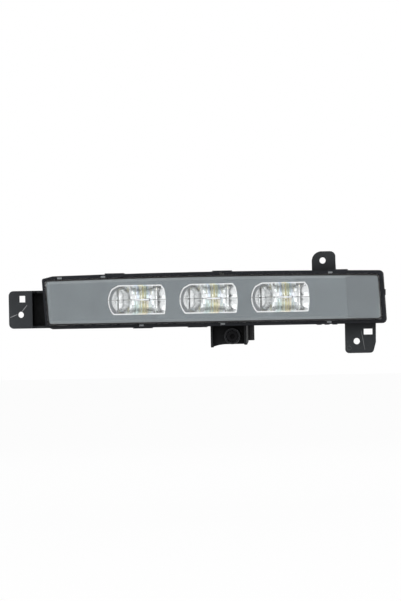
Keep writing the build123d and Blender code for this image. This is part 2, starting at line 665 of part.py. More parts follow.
# Lower tab with a bolt hole, a peg hole and two gussets
low_x, low_z = LOWER_TAB_HOLE
rib_y = LOWER_TAB_Y + TAB_THICKNESS
with BuildPart() as lower_tab:
    with BuildSketch(at_depth(LOWER_TAB_Y)) as plate:
        with BuildLine():
            Polyline(
                (low_x - LOWER_TAB_LEFT, TRAY_FLOOR_Z),
                (low_x - LOWER_TAB_LEFT, low_z - LOWER_TAB_DROP),
                (low_x + LOWER_TAB_RIGHT - 3, low_z - LOWER_TAB_DROP),
                (low_x + LOWER_TAB_RIGHT, low_z - 1),
                (low_x + LOWER_TAB_RIGHT, TRAY_FLOOR_Z),
                close=True,
            )
        make_face()
        fillet(plate.vertices().filter_by(lambda v: v.Y < low_z - 2), 4)
        with Locations(LOWER_TAB_HOLE):
            Circle(BOLT_HOLE / 2, mode=Mode.SUBTRACT)
        with Locations((low_x + LOWER_PEG_STEP[0], low_z + LOWER_PEG_STEP[1])):
            Rectangle(*LOWER_PEG_HOLE, mode=Mode.SUBTRACT)
    extrude(amount=-TAB_THICKNESS)
    for x in (low_x - LOWER_TAB_LEFT + 1, low_x + LOWER_TAB_RIGHT - 1):
        with BuildSketch(Plane.YZ.offset(x)):
            with BuildLine():
                Polyline(
                    (rib_y - 1, TRAY_FLOOR_Z), (rib_y + 8, TRAY_FLOOR_Z),
                    (rib_y, low_z + 1), (rib_y - 1, low_z + 1), close=True,
                )
            make_face()
        extrude(amount=1, both=True)
save(lower_tab.part, "lower_tab")

# Side tab, turned a little outwards, on a channel-shaped arm
side_x, side_z = SIDE_TAB_HOLE
side_mid_z = side_z + 5.1
side_plane = Plane(
    origin=(side_x, SIDE_TAB_Y, side_mid_z),
    x_dir=(cos(radians(SIDE_TAB_TURN)), -sin(radians(SIDE_TAB_TURN)), 0),
    z_dir=(-sin(radians(SIDE_TAB_TURN)), -cos(radians(SIDE_TAB_TURN)), 0),
)
arm_left = side_x + SIDE_TAB_WIDTH / 2 - 3
arm_right = -HALF + LENS_LEFT_SLANT / 2 + 1.5
arm_low = side_mid_z - SIDE_TAB_HEIGHT / 2
arm_high = side_mid_z + SIDE_TAB_HEIGHT / 2
with BuildPart() as side_tab:
    with BuildSketch(side_plane) as plate:
        Rectangle(SIDE_TAB_WIDTH, SIDE_TAB_HEIGHT)
        fillet(plate.vertices().filter_by(lambda v: v.X < 0), 5)
    extrude(amount=-TAB_THICKNESS)
    with BuildSketch(Plane.XY.offset(arm_low)):
        with BuildLine():
            Polyline(
                (arm_left, SIDE_TAB_Y - 0.5),
                (arm_left + 3, SIDE_TAB_Y - 0.9),
                (arm_left + 7, SIDE_TAB_Y + 3),
                (arm_right, SIDE_TAB_Y + 3),
                (arm_right, SIDE_WEB_Y + TAB_THICKNESS),
                (arm_left, SIDE_WEB_Y + TAB_THICKNESS),
                close=True,
            )
        make_face()
    extrude(amount=arm_high - arm_low)
    with Locations(((arm_left + 2.5 + arm_right + 0.2) / 2, SIDE_WEB_Y - 25, side_mid_z)):
        Box(arm_right - arm_left - 2.7, 50, arm_high - arm_low - 5, mode=Mode.SUBTRACT)
    with BuildSketch(side_plane):
        with Locations((0, side_z - side_mid_z)):
            Circle(BOLT_HOLE / 2)
        with Locations((SIDE_PEG_STEP[0], side_z - side_mid_z + SIDE_PEG_STEP[1])):
            Rectangle(SIDE_PEG_HOLE, SIDE_PEG_HOLE)
    extrude(amount=-TAB_THICKNESS, mode=Mode.SUBTRACT)
    add(tray_block(TRAY_GROW, FLANGE_BACK_Y - 1, 0, TRAY_CORNER), mode=Mode.SUBTRACT)
save(side_tab.part, "side_tab")

# Satin bezel with three openings, seated on the housing's inner lip
with BuildPart() as bezel:
    add(bezel_block(-LENS_WALL - BEZEL_GAP, BEZEL_FRONT_Y, RIM_BACK_Y, BEZEL_BEVEL))
    add(
        bezel_block(-LENS_WALL - BEZEL_GAP - BEZEL_WALL, BEZEL_FRONT_Y + BEZEL_FACE_WALL, RIM_BACK_Y),
        mode=Mode.SUBTRACT,
    )
    for x in CELL_X:
        with BuildSketch(at_depth(BEZEL_FRONT_Y)):
            with Locations((x, CELL_Z)):
                add(cell_outline())
        extrude(amount=-BEZEL_FACE_WALL, mode=Mode.SUBTRACT)
        with Locations((x, (BEZEL_RELIEF_Y + RIM_BACK_Y) / 2, 0)):
            Box(CELL_LENGTH + 7, RIM_BACK_Y - BEZEL_RELIEF_Y, 80, mode=Mode.SUBTRACT)
save(bezel.part, "bezel")

# One reflector about its own middle: stepped mirror shell, rim and two posts
with BuildPart() as reflector:
    add(bowl(-CELL_RIM + MIRROR_WALL, MIRROR_WALL))
    with BuildSketch(at_depth(MIRROR_RIM_Y)):
        add(cell_outline(MIRROR_RIM_OVERLAP, rounded=False))
    extrude(amount=-MIRROR_RIM_THICK)
    with BuildSketch(at_depth(MIRROR_RIM_Y + 6)):
        with Locations((-POST_X, POST_Z), (POST_X, -POST_Z)):
            Rectangle(POST_SIZE, POST_SIZE)
    extrude(amount=-(SINK_FRONT_Y - MIRROR_RIM_Y - 6))
    add(bowl(-CELL_RIM, 0), mode=Mode.SUBTRACT)
    with Locations((OPTIC_SHIFT, SINK_FRONT_Y - 10, 0)):
        Box(BOARD_WIDTH + 1, 20, BOARD_THICKNESS + 0.8, mode=Mode.SUBTRACT)

# One light board with its pair of emitters, and the finned sink that holds it
BOARD_BACK_Y = SINK_FRONT_Y + SINK_SOCKET
with BuildPart() as led_board:
    with Locations((OPTIC_SHIFT, (BOARD_FRONT_Y + BOARD_BACK_Y) / 2, 0)):
        Box(BOARD_WIDTH, BOARD_BACK_Y - BOARD_FRONT_Y, BOARD_THICKNESS)

with BuildPart() as led_emitters:
    lift = BOARD_THICKNESS / 2 + EMITTER[2] / 2
    with Locations((OPTIC_SHIFT, EMITTER_Y, lift), (OPTIC_SHIFT, EMITTER_Y, -lift)):
        Box(*EMITTER)

with BuildPart() as heat_sink:
    with Locations((0, SINK_FRONT_Y + SINK_BASE / 2, 0)):
        Box(2 * SINK_HALF_LENGTH, SINK_BASE, 2 * SINK_HALF_HEIGHT)
    fin_y = SINK_BACK_Y + FIN_LENGTH / 2
    with Locations([((i - (FIN_COUNT - 1) / 2) * FIN_PITCH, fin_y, 0) for i in range(FIN_COUNT)]):
        Box(FIN_THICKNESS, FIN_LENGTH, 2 * FIN_HALF_HEIGHT)
    with Locations((OPTIC_SHIFT, SINK_FRONT_Y + SINK_SOCKET / 2, 0)):
        Box(BOARD_WIDTH + 0.4, SINK_SOCKET, BOARD_THICKNESS, mode=Mode.SUBTRACT)

for i, x in enumerate(CELL_X):
    cell = Location((x, 0, CELL_Z))
    for piece, name in (
        (reflector, "reflector"),
        (led_board, "led_board"),
        (led_emitters, "led_emitters"),
        (heat_sink, "heat_sink"),
    ):
        save(piece.part.moved(cell), f"{name}_{i + 1}")

# Carrier: windowed plate with turned-back edges, pivot ears and the lever with its forked end
CARRIER_MID_X = (CARRIER_LEFT_X + CARRIER_RIGHT_X) / 2
CARRIER_LENGTH = CARRIER_RIGHT_X - CARRIER_LEFT_X
WINDOW_HALF_LENGTH = (FIN_COUNT - 1) / 2 * FIN_PITCH + 2.4
WINDOW_HALF_HEIGHT = FIN_HALF_HEIGHT + 1.0
LEVER_LOW_Z = AIM_Z + BARREL_RADIUS + 1.5
with BuildPart() as carrier:
    with BuildSketch(at_depth(SINK_BACK_Y)):
        with Locations((CARRIER_MID_X, CELL_Z)):
            Rectangle(CARRIER_LENGTH, 2 * CARRIER_HALF_HEIGHT)
        with Locations((AIM_X, (LEVER_LOW_Z + CELL_Z) / 2)):
            Rectangle(LEVER_WIDTH, CELL_Z - LEVER_LOW_Z)
        with Locations([(x, CELL_Z) for x in CELL_X]):
            Rectangle(2 * WINDOW_HALF_LENGTH, 2 * WINDOW_HALF_HEIGHT, mode=Mode.SUBTRACT)
    extrude(amount=-CARRIER_THICKNESS)
    for z in (CELL_Z + CARRIER_HALF_HEIGHT - 0.8, CELL_Z - CARRIER_HALF_HEIGHT + 0.8):
        with Locations((CARRIER_MID_X, CARRIER_BACK_Y + CARRIER_EDGE / 2, z)):
            Box(CARRIER_LENGTH - 8, CARRIER_EDGE, 1.6)
    for x in (CARRIER_LEFT_X + EAR_THICKNESS / 2, CARRIER_RIGHT_X - EAR_THICKNESS / 2):
        with BuildSketch(Plane.YZ.offset(x)):
            with Locations((PIVOT_Y, CELL_Z)):
                Circle(EAR_RADIUS)
            with Locations(((PIVOT_Y + CARRIER_BACK_Y) / 2, CELL_Z)):
                Rectangle(CARRIER_BACK_Y - PIVOT_Y, 2 * EAR_RADIUS)
        extrude(amount=EAR_THICKNESS / 2, both=True)
        with BuildSketch(Plane.YZ.offset(x)):
            with Locations((PIVOT_Y, CELL_Z)):
                Circle(PIN_RADIUS)
        extrude(amount=EAR_THICKNESS / 2, both=True, mode=Mode.SUBTRACT)
    cheek_half = BARREL_RADIUS + BARREL_GAP + CHEEK_WALL
    for side in (-1, 1):
        with BuildSketch(Plane.YZ.offset(AIM_X + side * (LEVER_WIDTH - CHEEK_THICKNESS) / 2)):
            with BuildLine():
                Polyline(
                    (PIVOT_Y - cheek_half, AIM_Z - BARREL_RADIUS),
                    (PIVOT_Y + cheek_half, AIM_Z - BARREL_RADIUS),
                    (CARRIER_BACK_Y, LEVER_LOW_Z + 8),
                    (CARRIER_BACK_Y - 1, LEVER_LOW_Z + 8),
                    (PIVOT_Y - cheek_half, LEVER_LOW_Z + 2),
                    close=True,
                )
            make_face()
            with Locations((PIVOT_Y, AIM_Z - BARREL_RADIUS)):
                Rectangle(2 * (BARREL_RADIUS + BARREL_GAP), 4 * BARREL_RADIUS + 1, mode=Mode.SUBTRACT)
        extrude(amount=CHEEK_THICKNESS / 2, both=True)
save(carrier.part, "carrier")

# Pivot pins pressed into the carrier's ears, turning in the housing's bearing walls
PIN_LENGTH = EAR_THICKNESS + BEARING_GAP + BEARING_WALL + 1
for side, ear_x, name in (
    (-1, CARRIER_LEFT_X + EAR_THICKNESS, "left"),
    (1, CARRIER_RIGHT_X - EAR_THICKNESS, "right"),
):
    with BuildPart() as pivot_pin:
        with BuildSketch(Plane.YZ.offset(ear_x)):
            with Locations((PIVOT_Y, CELL_Z)):
                Circle(PIN_RADIUS)
        extrude(amount=side * PIN_LENGTH)
    save(pivot_pin.part, f"pivot_pin_{name}")

# Aiming stud: threaded shank in the knob's hub, cross barrel in the lever's fork
with BuildPart() as aim_stud:
    with BuildSketch(at_depth(STUD_FRONT_Y)):
        with Locations((AIM_X, AIM_Z)):
            Circle(STUD_RADIUS)
    extrude(amount=-(HUB_BACK_Y + 1 - STUD_FRONT_Y))
    with Locations((AIM_X, (HUB_BACK_Y + PIVOT_Y) / 2, AIM_Z)):
        Box(0.9 * BARREL_RADIUS, PIVOT_Y - HUB_BACK_Y, 1.2 * BARREL_RADIUS)
    with BuildSketch(Plane.YZ.offset(AIM_X)):
        with Locations((PIVOT_Y, AIM_Z)):
            Circle(BARREL_RADIUS)
    extrude(amount=BARREL_LENGTH / 2, both=True)
save(aim_stud.part, "aim_stud")

# Aiming knob: notched head with a hexagonal drive, hollow hub through the pocket's wall
with BuildPart() as aim_knob:
    with BuildSketch(at_depth(KNOB_FRONT_Y)):
        with Locations((AIM_X, AIM_Z)):
            Circle(KNOB_RADIUS)
        with Locations((AIM_X, AIM_Z)):
            with PolarLocations(KNOB_RADIUS, KNOB_NOTCHES):
                Rectangle(1.4, 1.4, mode=Mode.SUBTRACT)
    extrude(amount=-KNOB_HEAD)
    with BuildSketch(at_depth(HEAD_BACK_Y)):
        with Locations((AIM_X, AIM_Z)):
            Circle(HUB_RADIUS)
    extrude(amount=-(HUB_BACK_Y - HEAD_BACK_Y))
    with BuildSketch(at_depth(KNOB_FRONT_Y)):
        with Locations((AIM_X, AIM_Z)):
            RegularPolygon(KNOB_DRIVE, 6)
    extrude(amount=-KNOB_DRIVE_DEPTH, mode=Mode.SUBTRACT)
    with BuildSketch(at_depth(STUD_FRONT_Y - 2.5)):
        with Locations((AIM_X, AIM_Z)):
            Circle(STUD_RADIUS + STUD_GAP)
    extrude(amount=-(HUB_BACK_Y - STUD_FRONT_Y + 2.5), mode=Mode.SUBTRACT)
save(aim_knob.part, "aim_knob")

# Push-on plate that keeps the knob in, its twelve flats gripping the hub
with BuildPart() as knob_keeper:
    with BuildSketch(at_depth(POCKET_FRONT_Y + POCKET_WALL + FREE_GAP)):
        with Locations((AIM_X, AIM_Z)):
            RegularPolygon(HUB_RADIUS + KEEPER_RIM, 12)
            RegularPolygon(HUB_RADIUS, 12, major_radius=False, mode=Mode.SUBTRACT)
    extrude(amount=-1.2)
save(knob_keeper.part, "knob_keeper")

# Driver board held by its ends, and the parts on its back
PIN_X = [PLUG_X + i * PLUG_PIN_PITCH for i in (-1, 0, 1)]
PIN_TURN_Z = CELL_Z - DRIVER_HEIGHT / 2 + 2.5
with BuildPart() as driver_board:
    with BuildSketch(at_depth(DRIVER_Y)):
        with Locations((DRIVER_X, CELL_Z)):
            Rectangle(DRIVER_LENGTH, DRIVER_HEIGHT)
        with Locations([(x, PIN_TURN_Z) for x in PIN_X]):
            Rectangle(PLUG_PIN[0] + 0.2, PLUG_PIN[1] + 0.2, mode=Mode.SUBTRACT)
    extrude(amount=-DRIVER_THICKNESS)
save(driver_board.part, "driver_board")

with BuildPart() as driver_components:
    with BuildSketch(at_depth(DRIVER_BACK_Y)):
        with Locations((DRIVER_X - COIL_STEP, CELL_Z + 2)):
            RegularPolygon(COIL_RADIUS, 12)
        with Locations((DRIVER_X + CAN_STEP, CELL_Z + 5), (DRIVER_X + CAN_STEP, CELL_Z - 4)):
            RegularPolygon(CAN_RADIUS, 8)
    extrude(amount=-COIL_HEIGHT)
    with BuildSketch(at_depth(DRIVER_BACK_Y)):
        with Locations((DRIVER_X + CHIP_STEP, CELL_Z + 4)):
            Rectangle(CHIP_SIZE, CHIP_SIZE)
        with Locations([(DRIVER_X - RESISTOR_STEP + RESISTOR_PITCH * i, CELL_Z + 8) for i in range(3)]):
            Rectangle(*RESISTOR)
        with Locations([(DRIVER_X - RESISTOR_STEP + RESISTOR_PITCH * i, CELL_Z - 6) for i in range(3)]):
            Rectangle(*RESISTOR)
    extrude(amount=-CHIP_HEIGHT)
save(driver_components.part, "driver_components")

# Plug socket under the tray with its seal and bent blade pins
SEAL_BOTTOM_Z = TRAY_FLOOR_Z - PLUG_SEAL
with BuildPart() as plug_seal:
    with BuildSketch(Plane.XY.offset(SEAL_BOTTOM_Z)):
        with Locations((PLUG_X, PLUG_Y)):
            Rectangle(PLUG_FLANGE[0] - 0.6, PLUG_FLANGE[1] - 0.6)
            Rectangle(*PLUG_NECK, mode=Mode.SUBTRACT)
    extrude(amount=PLUG_SEAL)
save(plug_seal.part, "plug_seal")

FLANGE_BOTTOM_Z = SEAL_BOTTOM_Z - PLUG_FLANGE[2]
with BuildPart() as plug_socket:
    with BuildSketch(Plane.XY.offset(FLANGE_BOTTOM_Z)):
        with Locations((PLUG_X, PLUG_Y)):
            Rectangle(PLUG_FLANGE[0], PLUG_FLANGE[1])
    extrude(amount=PLUG_FLANGE[2])
    with BuildSketch(Plane.XY.offset(SEAL_BOTTOM_Z)):
        with Locations((PLUG_X, PLUG_Y)):
            Rectangle(*PLUG_NECK)
    extrude(amount=TRAY_INNER_FLOOR_Z - SEAL_BOTTOM_Z + 2.4)
    hook_x = PLUG_NECK[0] / 2 + 0.4
    with Locations([(PLUG_X + s * hook_x, PLUG_Y, TRAY_INNER_FLOOR_Z + 1) for s in (-1, 1)]):
        Box(1.2, 5, 2)
    with BuildSketch(Plane.XY.offset(PLUG_MOUTH_Z)):
        with Locations((PLUG_X, PLUG_Y)):
            RectangleRounded(PLUG_LENGTH, PLUG_WIDTH, 1.5)
    extrude(amount=FLANGE_BOTTOM_Z - PLUG_MOUTH_Z)
    rib_z = (PLUG_MOUTH_Z + FLANGE_BOTTOM_Z) / 2
    with Locations([(PLUG_X + x, PLUG_Y - PLUG_WIDTH / 2 - 0.4, rib_z) for x in (-8, 0, 8)]):
        Box(1.4, 1.2, FLANGE_BOTTOM_Z - PLUG_MOUTH_Z)
    with Locations([(PLUG_X + PLUG_LENGTH / 2 + 0.4, PLUG_Y + y, rib_z) for y in (-4, 0, 4)]):
        Box(1.2, 1.4, FLANGE_BOTTOM_Z - PLUG_MOUTH_Z)
    with BuildSketch(Plane.XY.offset(PLUG_MOUTH_Z)):
        with Locations((PLUG_X, PLUG_Y)):
            Rectangle(PLUG_LENGTH - 2 * PLUG_WALL, PLUG_WIDTH - 2 * PLUG_WALL)
    extrude(amount=FLANGE_BOTTOM_Z - PLUG_MOUTH_Z, mode=Mode.SUBTRACT)
    with BuildSketch(Plane.XY.offset(FLANGE_BOTTOM_Z)):
        with Locations([(x, PLUG_Y) for x in PIN_X]):
            Rectangle(*PLUG_PIN)
    extrude(amount=20, mode=Mode.SUBTRACT)
save(plug_socket.part, "plug_socket")

with BuildPart() as plug_pins:
    for x in PIN_X:
        with BuildSketch(Plane.YZ.offset(x)):
            with BuildLine():
                low = PLUG_MOUTH_Z + PLUG_PIN_TIP
                half_pin = PLUG_PIN[1] / 2
                Polyline(
                    (PLUG_Y - half_pin, low),
                    (PLUG_Y + half_pin, low),
                    (PLUG_Y + half_pin, PIN_TURN_Z - half_pin),
                    (DRIVER_BACK_Y + 1, PIN_TURN_Z - half_pin),
                    (DRIVER_BACK_Y + 1, PIN_TURN_Z + half_pin),
                    (PLUG_Y - half_pin, PIN_TURN_Z + half_pin),
                    close=True,
                )
            make_face()
        extrude(amount=PLUG_PIN[0] / 2, both=True)
save(plug_pins.part, "plug_pins")

# Rubber vent cap pushed over the pipe on the back, breathing through a slot across its mouth
VENT_GAP = 1.0
with BuildPart() as vent_cap:
    with BuildSketch(at_depth(TRAY_BACK_Y + VENT_GAP)):
        with Locations((VENT_X, VENT_Z)):
            Circle(VENT_CAP_RADIUS)
    extrude(amount=-VENT_CAP)
    with BuildSketch(at_depth(TRAY_BACK_Y + VENT_GAP)):
        with Locations((VENT_X, VENT_Z)):
            Circle(VENT_PIPE_RADIUS)
    extrude(amount=-(VENT_PIPE - VENT_GAP), mode=Mode.SUBTRACT)
    with BuildSketch(at_depth(TRAY_BACK_Y + VENT_GAP)):
        with Locations((VENT_X, VENT_Z)):
            Rectangle(2 * VENT_CAP_RADIUS, 1.6)
    extrude(amount=-2, mode=Mode.SUBTRACT)
save(vent_cap.part, "vent_cap")
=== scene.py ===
from math import atan2, cos, hypot, pi, radians, sin, tan

import bmesh
import bpy
from mathutils import Matrix, Vector


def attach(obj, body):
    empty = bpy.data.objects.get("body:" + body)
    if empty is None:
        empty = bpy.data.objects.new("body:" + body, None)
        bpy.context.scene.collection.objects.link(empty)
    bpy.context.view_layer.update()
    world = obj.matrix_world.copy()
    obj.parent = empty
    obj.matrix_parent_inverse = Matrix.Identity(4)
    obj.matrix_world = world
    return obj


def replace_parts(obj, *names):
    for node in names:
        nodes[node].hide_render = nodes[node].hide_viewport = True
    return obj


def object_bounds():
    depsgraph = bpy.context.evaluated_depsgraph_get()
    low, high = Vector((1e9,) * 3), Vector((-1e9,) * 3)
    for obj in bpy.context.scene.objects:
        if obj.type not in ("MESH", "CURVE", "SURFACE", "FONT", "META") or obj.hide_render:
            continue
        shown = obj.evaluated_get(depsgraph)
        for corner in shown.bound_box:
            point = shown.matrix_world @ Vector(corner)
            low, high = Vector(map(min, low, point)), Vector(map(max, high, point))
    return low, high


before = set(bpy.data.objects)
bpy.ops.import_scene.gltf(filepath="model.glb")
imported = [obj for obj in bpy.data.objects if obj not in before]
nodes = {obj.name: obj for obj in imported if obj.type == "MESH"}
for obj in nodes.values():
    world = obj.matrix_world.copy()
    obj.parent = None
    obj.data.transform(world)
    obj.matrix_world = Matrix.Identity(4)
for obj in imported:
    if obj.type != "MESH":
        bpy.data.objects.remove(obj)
cad_low, cad_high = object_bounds()
scene = bpy.context.scene

# Sizes and places are in millimetres, which MM turns into metres; shaders, stage and camera are in metres
MM = 0.001

# Lens, and the snap lugs along its two long edges
LENS_HALF = 170.25
LENS_EDGE_Z = 23.2
LENS_CROWN = 1.8
UPPER_LUGS = (13.5 - LENS_HALF, 58 - LENS_HALF, LENS_HALF - 51)
LOWER_LUGS = (96.3 - LENS_HALF, 9, LENS_HALF - 53)
# Pale pads on the lugs paint the light reflected by the clear lugs: their depth, size, and lift past the lens
# edge
LUG_FACE_Y = 13.85
LUG_FACE = (4.4, 0.16, 1.7)
LUG_FACE_OUT = 1.4

# Crease of the bezel: where the end panel starts at mid height, and its lean
CREASE_START = 135.7
CREASE_END = 136.1
CREASE_LEAN = 2.8 / 46.4

# Mirror cells: their middles, half length and half height, rim, and the light source's offset
CELL_X = (-73.8, -0.8, 72.2)
CELL_Z = 1.5
CELL_HALF = 29.75
CELL_RISE = 15.15
CELL_REACH = 15
CELL_RIM = 1.3
OPTIC_X = 4.0

# Outline corners as shares of CELL_HALF and CELL_RISE: start, middle and end of each rounded end, and the top
LEFT_END = ((-0.815, -1), (-1, -0.02), (-0.86, 0.76))
RIGHT_END = ((0.95, 0.725), (1, -0.1), (0.955, -1))
TOP_CORNERS = ((-0.635, 1), (0.845, 1))
END_POINTS = 14

# Rim and wall of a mirror, and the slot for its light board
RIM_Y = 12.2
RIM_THICK = 1.8
RIM_OVERLAP = 1.5
RIM_ROOT = -1.0
RIM_LIFT = 0.02
MIRROR_WALL = 1.0
SINK_Y = 44.0
SLOT_X = 7.5
SLOT_Z = 1.2
BOARD_FACE = 0.8

# Strips of a mirror: where the band and the lobes end, their curves, and the mesh's steps
BAND_X = 11.2
LOBE_LEFT = 23.8
LOBE_RIGHT = 14.9
FAR_LEFT = 36.75
FAR_RIGHT = 28.75
BAND_STRIPS = 5
BAND_VERTEX = 35.5
BAND_SWEEP = 40.0
BAND_FOCAL = 6.0
BAND_STEP = 0.35
OUTER_VERTEX = 35.0
OUTER_FOCAL = 21.0
INNER_VERTEX = 38.0
INNER_FOCAL = 11.0
BAND_FLUTE = (0.2, 0)
OUTER_BOWL = (0.4, -0.9)
INNER_BOWL = (0.5, -0.9)
MIRROR_ROWS = 14
END_STEPS = 12
STRIP_STEPS = 6
RING_POINTS = 128
SHARP_ANGLE = radians(24)

# Pegs from a mirror to its heat sink, placed from the cell's middle
PEGS = ((-20, 7), (20, -7))
PEG_SIDE = 5
PEG_ROOT = 1.0

# Satin ledge at the rounded end of each cell
LEDGE_WIDTH = 2.6
LEDGE_FLARE = 0.9
LEDGE_Y = 13.6
LEDGE_DEPTH = 1
LEDGE_END = 0.2
LEDGE_STEPS = 32

# Fixing tabs: bolt hole and front face, with the side tab's turn
SIDE_X = -198.8
SIDE_Z = -11.6
SIDE_Y = 29.0
SIDE_SLOPE = tan(radians(8))
LOW_X = 143.9
LOW_Z = -44.8
LOW_Y = 31.0

# Aim knob's axis and its collar
KNOB_X = 18.0
KNOB_Z = -37.5
COLLAR_Y = 19.5

# Fine marks, and the collar's painted highlight: width, radius and thickness, and how far a knit line's edges
# and ridge stand from the face
SIDE_KNIT = 1.1
LOWER_KNIT = 0.9
KNIT_STEPS = 8
KNIT_EDGE = 0.02
KNIT_RIDGE = -0.04
EJECTOR_RADIUS = 2.1
EJECTOR_THICK = 0.12
COLLAR_RADIUS = 7.85
COLLAR_THICK = 0.2
SIDE_STREAKS = (
    ((SIDE_X - 11.3, SIDE_Z - 2.7), (SIDE_X - 3.6, SIDE_Z + 0.4)),
    ((SIDE_X + 1.3, SIDE_Z + 3.3), (SIDE_X + 6.8, SIDE_Z + 9.9)),
)
LOWER_STREAK = ((LOW_X + 4.8, LOW_Z + 10.6), (LOW_X + 8.2, LOW_Z - 8.9))
EJECTOR_PLACE = (LOW_X - 7.9, LOW_Y, LOW_Z - 6.9)

# Scales of cloudiness and sheen in moulded surfaces, depth of their grain, and the painted shade of their
# hollows
CLOUD_SCALE = 28
SHEEN_SCALE = 90
SHEEN_SPREAD = 0.06
GRAIN_DEPTH = 0.0003
HOLLOW_SHADE = 0.12

# Floor, and the white backdrop's strength as light and as seen
FLOOR_REACH = 9
FLOOR_DROP = 0.16
FLOOR_WHITENESS = 0.94
BACKDROP_LIGHT = 0.56
BACKDROP_SEEN = 1.0

# Lamps: name, place, target, size and power in watts
LAMPS = (
    ("key", (-0.9, -1.5, 1.3), (0, 0, 0), (3.0, 2.44), 17),
    ("fill", (1.3, -1.6, 0.5), (0, 0, 0), (1.8, 1.8), 8),
    ("back", (0.2, 1.5, 1.2), (0, 0.05, 0), (2.0, 1.4), 8),
)

# Camera at the photograph's angle; the photograph has PIXELS_PER_MM, and the part's origin at ORIGIN_PIXEL
AZIMUTH = radians(4.5)
ROLL = radians(1.1)
DISTANCE = 5.0
SENSOR = 36.0
PHOTO_SIZE = (401, 601)
ORIGIN_PIXEL = (212.41, 299.82)
PIXELS_PER_MM = 0.9875


# Shader helpers
def new_material(name):
    material = bpy.data.materials.new(name)
    material.use_nodes = True
    tree = material.node_tree
    return material, tree, tree.nodes["Principled BSDF"]


def node(tree, kind, **values):
    """New node with input values and settings given by name."""
    made = tree.nodes.new(kind)
    for key, value in values.items():
        if key in made.inputs:
            made.inputs[key].default_value = value
        else:
            setattr(made, key, value)
    return made


def calculate(tree, operation, *values):
    """Math node whose inputs are numbers or sockets."""
    made = node(tree, "ShaderNodeMath", operation=operation)
    for socket, value in zip(made.inputs, values):
        if isinstance(value, (int, float)):
            socket.default_value = value
        else:
            tree.links.new(value, socket)
    return made.outputs[0]


def object_point(tree):
    return tree.nodes.new("ShaderNodeTexCoord").outputs["Object"]


def axes_of(tree, vector):
    made = tree.nodes.new("ShaderNodeSeparateXYZ")
    tree.links.new(vector, made.inputs["Vector"])
    return made.outputs


def noise(tree, point, scale, detail=3.0, roughness=0.55):
    made = node(tree, "ShaderNodeTexNoise", Scale=scale, Detail=detail, Roughness=roughness)
    tree.links.new(point, made.inputs["Vector"])
    return made.outputs["Fac"]


def spread(tree, value, low, high, from_low=0.3, from_high=0.7):
    """Map a range of values to another range."""
    made = tree.nodes.new("ShaderNodeMapRange")
    made.inputs["From Min"].default_value = from_low
    made.inputs["From Max"].default_value = from_high
    made.inputs["To Min"].default_value = low
    made.inputs["To Max"].default_value = high
    tree.links.new(value, made.inputs["Value"])
    return made.outputs["Result"]


def blend_colours(tree, factor, first, second):
    """Mix two colours, each a tuple or a socket."""
    made = node(tree, "ShaderNodeMix", data_type="RGBA")
    tree.links.new(factor, made.inputs["Factor"])
    for socket, value in ((made.inputs[6], first), (made.inputs[7], second)):
        if isinstance(value, tuple):
            socket.default_value = (*value, 1)
        else:
            tree.links.new(value, socket)
    return made.outputs[2]


# Materials
def moulded(name, dark, light, rough, grain, relief, edge, metallic=0.0, specular=0.5, shade_reach=0.0):
    """Moulded or cast surface: cloudy colour, uneven sheen, fine grain and softened edges.

    Given a reach, painted shade darkens the colour in hollows that close within it, as found by ambient
    occlusion.
    """
    material, tree, shader = new_material(name)
    point = object_point(tree)
    cloud = spread(tree, noise(tree, point, CLOUD_SCALE, 4), 0, 1)
    colour = blend_colours(tree, cloud, dark, light)
    if shade_reach:
        # Painted shade: ambient occlusion darkens the colour in hollows, standing in for the shade that falls
        # there
        occlusion = node(tree, "ShaderNodeAmbientOcclusion", samples=8, Distance=shade_reach)
        painted_shade = tuple(value * HOLLOW_SHADE for value in dark)
        colour = blend_colours(tree, spread(tree, occlusion.outputs["AO"], 0, 1, 0.25, 0.85), painted_shade, colour)
    tree.links.new(colour, shader.inputs["Base Color"])
    sheen = noise(tree, point, SHEEN_SCALE, 3)
    uneven = spread(tree, sheen, rough - SHEEN_SPREAD, rough + SHEEN_SPREAD)
    tree.links.new(uneven, shader.inputs["Roughness"])
    rounding = node(tree, "ShaderNodeBevel", samples=6, Radius=edge)
    bump = node(tree, "ShaderNodeBump", Strength=relief, Distance=GRAIN_DEPTH)
    tree.links.new(noise(tree, point, grain, 2), bump.inputs["Height"])
    tree.links.new(rounding.outputs["Normal"], bump.inputs["Normal"])
    tree.links.new(bump.outputs["Normal"], shader.inputs["Normal"])
    shader.inputs["Metallic"].default_value = metallic
    shader.inputs["Specular IOR Level"].default_value = specular
    return material


def satin_bezel():
    """Satin grey trim with painted shade on its end panel beyond the slanted crease, and a painted highlight
    on its sloped top and bottom edges, where light falls.
    """
    material = moulded(
        "bezel_satin", (0.207, 0.243, 0.263), (0.257, 0.298, 0.320),
        rough=0.42, grain=3200, relief=0.06, edge=0.0004, specular=0.3,
    )
    tree = material.node_tree
    base = tree.nodes["Principled BSDF"].inputs["Base Color"]
    plain = base.links[0].from_socket
    axes = axes_of(tree, object_point(tree))
    across = calculate(tree, "MULTIPLY_ADD", axes["Z"], CREASE_LEAN, axes["X"])
    # Painted shade on the end panel beyond the crease, for the way light falls on its lean
    panel = spread(tree, across, 0, 0.16, CREASE_START * MM, CREASE_END * MM)
    panel_shaded = blend_colours(tree, panel, plain, (0.02, 0.02, 0.02))
    slope = axes_of(tree, tree.nodes.new("ShaderNodeNewGeometry").outputs["True Normal"])
    # Painted highlight on the sloped top and bottom edges, where they face the light
    edge_highlight = spread(tree, calculate(tree, "ABSOLUTE", slope["Z"]), 0, 0.14, 0.2, 0.4)
    tree.links.new(blend_colours(tree, edge_highlight, panel_shaded, (0.75, 0.78, 0.80)), base)
    return material


def clear_lens():
    material, tree, shader = new_material("lens_clear")
    shader.inputs["Base Color"].default_value = (0.988, 0.994, 0.997, 1)
    shader.inputs["Transmission Weight"].default_value = 1.0
    shader.inputs["IOR"].default_value = 1.5
    haze = spread(tree, noise(tree, object_point(tree), 60), 0.0, 0.03)
    tree.links.new(haze, shader.inputs["Roughness"])
    return material
